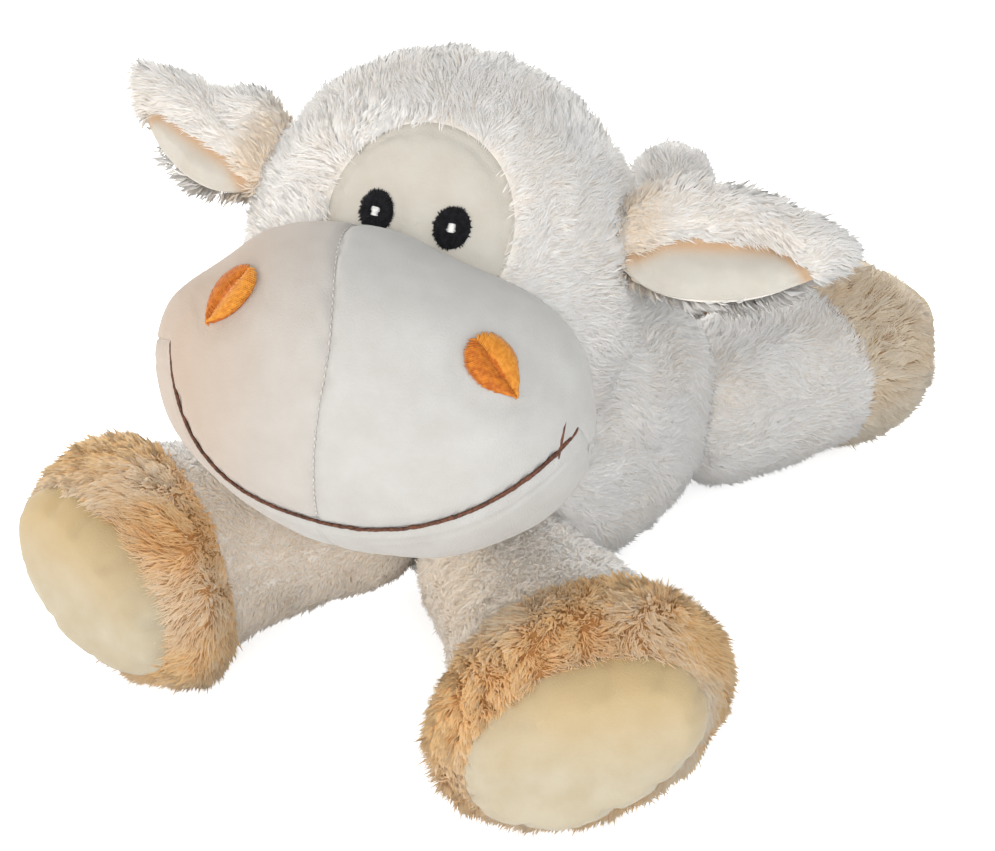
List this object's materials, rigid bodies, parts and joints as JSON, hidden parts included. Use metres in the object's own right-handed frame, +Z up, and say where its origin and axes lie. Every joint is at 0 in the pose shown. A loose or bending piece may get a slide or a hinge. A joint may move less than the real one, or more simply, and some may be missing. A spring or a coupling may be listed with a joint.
{
  "type": "plush sheep",
  "caption": "Soft stuffed sheep lying on its belly, with shaggy white pile, a broad smooth muzzle, tan feet, and a head, ears, legs and tail that flex on their seams.",
  "frame": {"origin": "on the floor under the middle of the bounding box", "axes": "+Z up; the body points along -Y, so the sheep's left is +X"},
  "size_m": [0.2962, 0.4142, 0.2529],
  "materials": {
    "white_long_pile": "shaggy white pile",
    "cream_short_pile": "smooth cream pile",
    "muzzle_short_pile": "smooth off-white pile",
    "tan_long_pile": "shaggy tan pile",
    "sole_short_pile": "smooth cream pile",
    "black_thread": "satin stitch",
    "white_thread": "satin stitch",
    "gold_thread": "satin stitch",
    "brown_thread": "satin stitch",
    "stuffing": "loose white fibre"
  },
  "bodies": {
    "torso": {"body_left_panel": "white_long_pile", "body_right_panel": "white_long_pile", "belly_panel": "white_long_pile", "body_stuffing": "stuffing"},
    "neck": {"neck_stuffing": "stuffing"},
    "head": {"head_left_panel": "white_long_pile", "head_right_panel": "white_long_pile", "head_stuffing": "stuffing", "face_patch": "cream_short_pile", "eye_left": "black_thread", "eye_highlight_left": "white_thread", "eye_right": "black_thread", "eye_highlight_right": "white_thread", "muzzle_left_panel": "muzzle_short_pile", "muzzle_right_panel": "muzzle_short_pile", "chin_panel": "muzzle_short_pile", "muzzle_stuffing": "stuffing", "mouth_stitch": "brown_thread", "nostril_left": "gold_thread", "nostril_right": "gold_thread"},
    "ear_left": {"ear_left_outer": "white_long_pile", "ear_left_lining": "cream_short_pile"},
    "ear_right": {"ear_right_outer": "white_long_pile", "ear_right_lining": "cream_short_pile"},
    "front_left_leg": {"front_left_sleeve": "white_long_pile", "front_left_foot_cover": "tan_long_pile", "front_left_sole_pad": "sole_short_pile", "front_left_leg_stuffing": "stuffing"},
    "front_right_leg": {"front_right_sleeve": "white_long_pile", "front_right_foot_cover": "tan_long_pile", "front_right_sole_pad": "sole_short_pile", "front_right_leg_stuffing": "stuffing"},
    "hind_left_leg": {"hind_left_sleeve": "white_long_pile", "hind_left_foot_cover": "tan_long_pile", "hind_left_sole_pad": "sole_short_pile", "hind_left_leg_stuffing": "stuffing"},
    "hind_right_leg": {"hind_right_sleeve": "white_long_pile", "hind_right_foot_cover": "tan_long_pile", "hind_right_sole_pad": "sole_short_pile", "hind_right_leg_stuffing": "stuffing"},
    "tail": {"tail_cover": "white_long_pile", "tail_stuffing": "stuffing"}
  },
  "joints": [
    {"name": "head_turn", "type": "hinge", "parent": "torso", "child": "neck", "pos_m": [-0.01044, -0.06906, 0.10279], "axis": [0, 0, 1], "range_deg": [-28, 8], "stiffness_Nm_per_rad": 4},
    {"name": "head_nod", "type": "hinge", "parent": "neck", "child": "head", "pos_m": [-0.01044, -0.06906, 0.10279], "axis": [0.9444, 0.3123, -0.1028], "range_deg": [-14, 3], "stiffness_Nm_per_rad": 8},
    {"name": "ear_left_flap", "type": "hinge", "parent": "head", "child": "ear_left", "pos_m": [0.06979, -0.0669, 0.19354], "axis": [-0.3427, 0.5052, 0.792], "range_deg": [-20, 20], "stiffness_Nm_per_rad": 0.3},
    {"name": "ear_right_flap", "type": "hinge", "parent": "head", "child": "ear_right", "pos_m": [-0.06459, -0.11135, 0.20817], "axis": [0.1244, 0.6597, 0.7412], "range_deg": [-20, 20], "stiffness_Nm_per_rad": 0.3},
    {"name": "front_left_leg_swing", "type": "hinge", "parent": "torso", "child": "front_left_leg", "pos_m": [0.02472, -0.08657, 0.04344], "axis": [0, 0, 1], "range_deg": [-10, 15], "stiffness_Nm_per_rad": 2},
    {"name": "front_right_leg_swing", "type": "hinge", "parent": "torso", "child": "front_right_leg", "pos_m": [-0.05106, -0.08894, 0.04344], "axis": [0, 0, 1], "range_deg": [-15, 10], "stiffness_Nm_per_rad": 2},
    {"name": "hind_left_leg_swing", "type": "hinge", "parent": "torso", "child": "hind_left_leg", "pos_m": [0.02407, 0.09093, 0.044], "axis": [0, 0, 1], "range_deg": [-20, 2], "stiffness_Nm_per_rad": 2},
    {"name": "hind_right_leg_swing", "type": "hinge", "parent": "torso", "child": "hind_right_leg", "pos_m": [-0.0521, 0.09093, 0.044], "axis": [0, 0, 1], "range_deg": [-2, 20], "stiffness_Nm_per_rad": 2},
    {"name": "tail_wag", "type": "hinge", "parent": "torso", "child": "tail", "pos_m": [-0.01401, 0.08433, 0.10235], "axis": [0, 1, 0], "range_deg": [-20, 20], "stiffness_Nm_per_rad": 0.4}
  ]
}
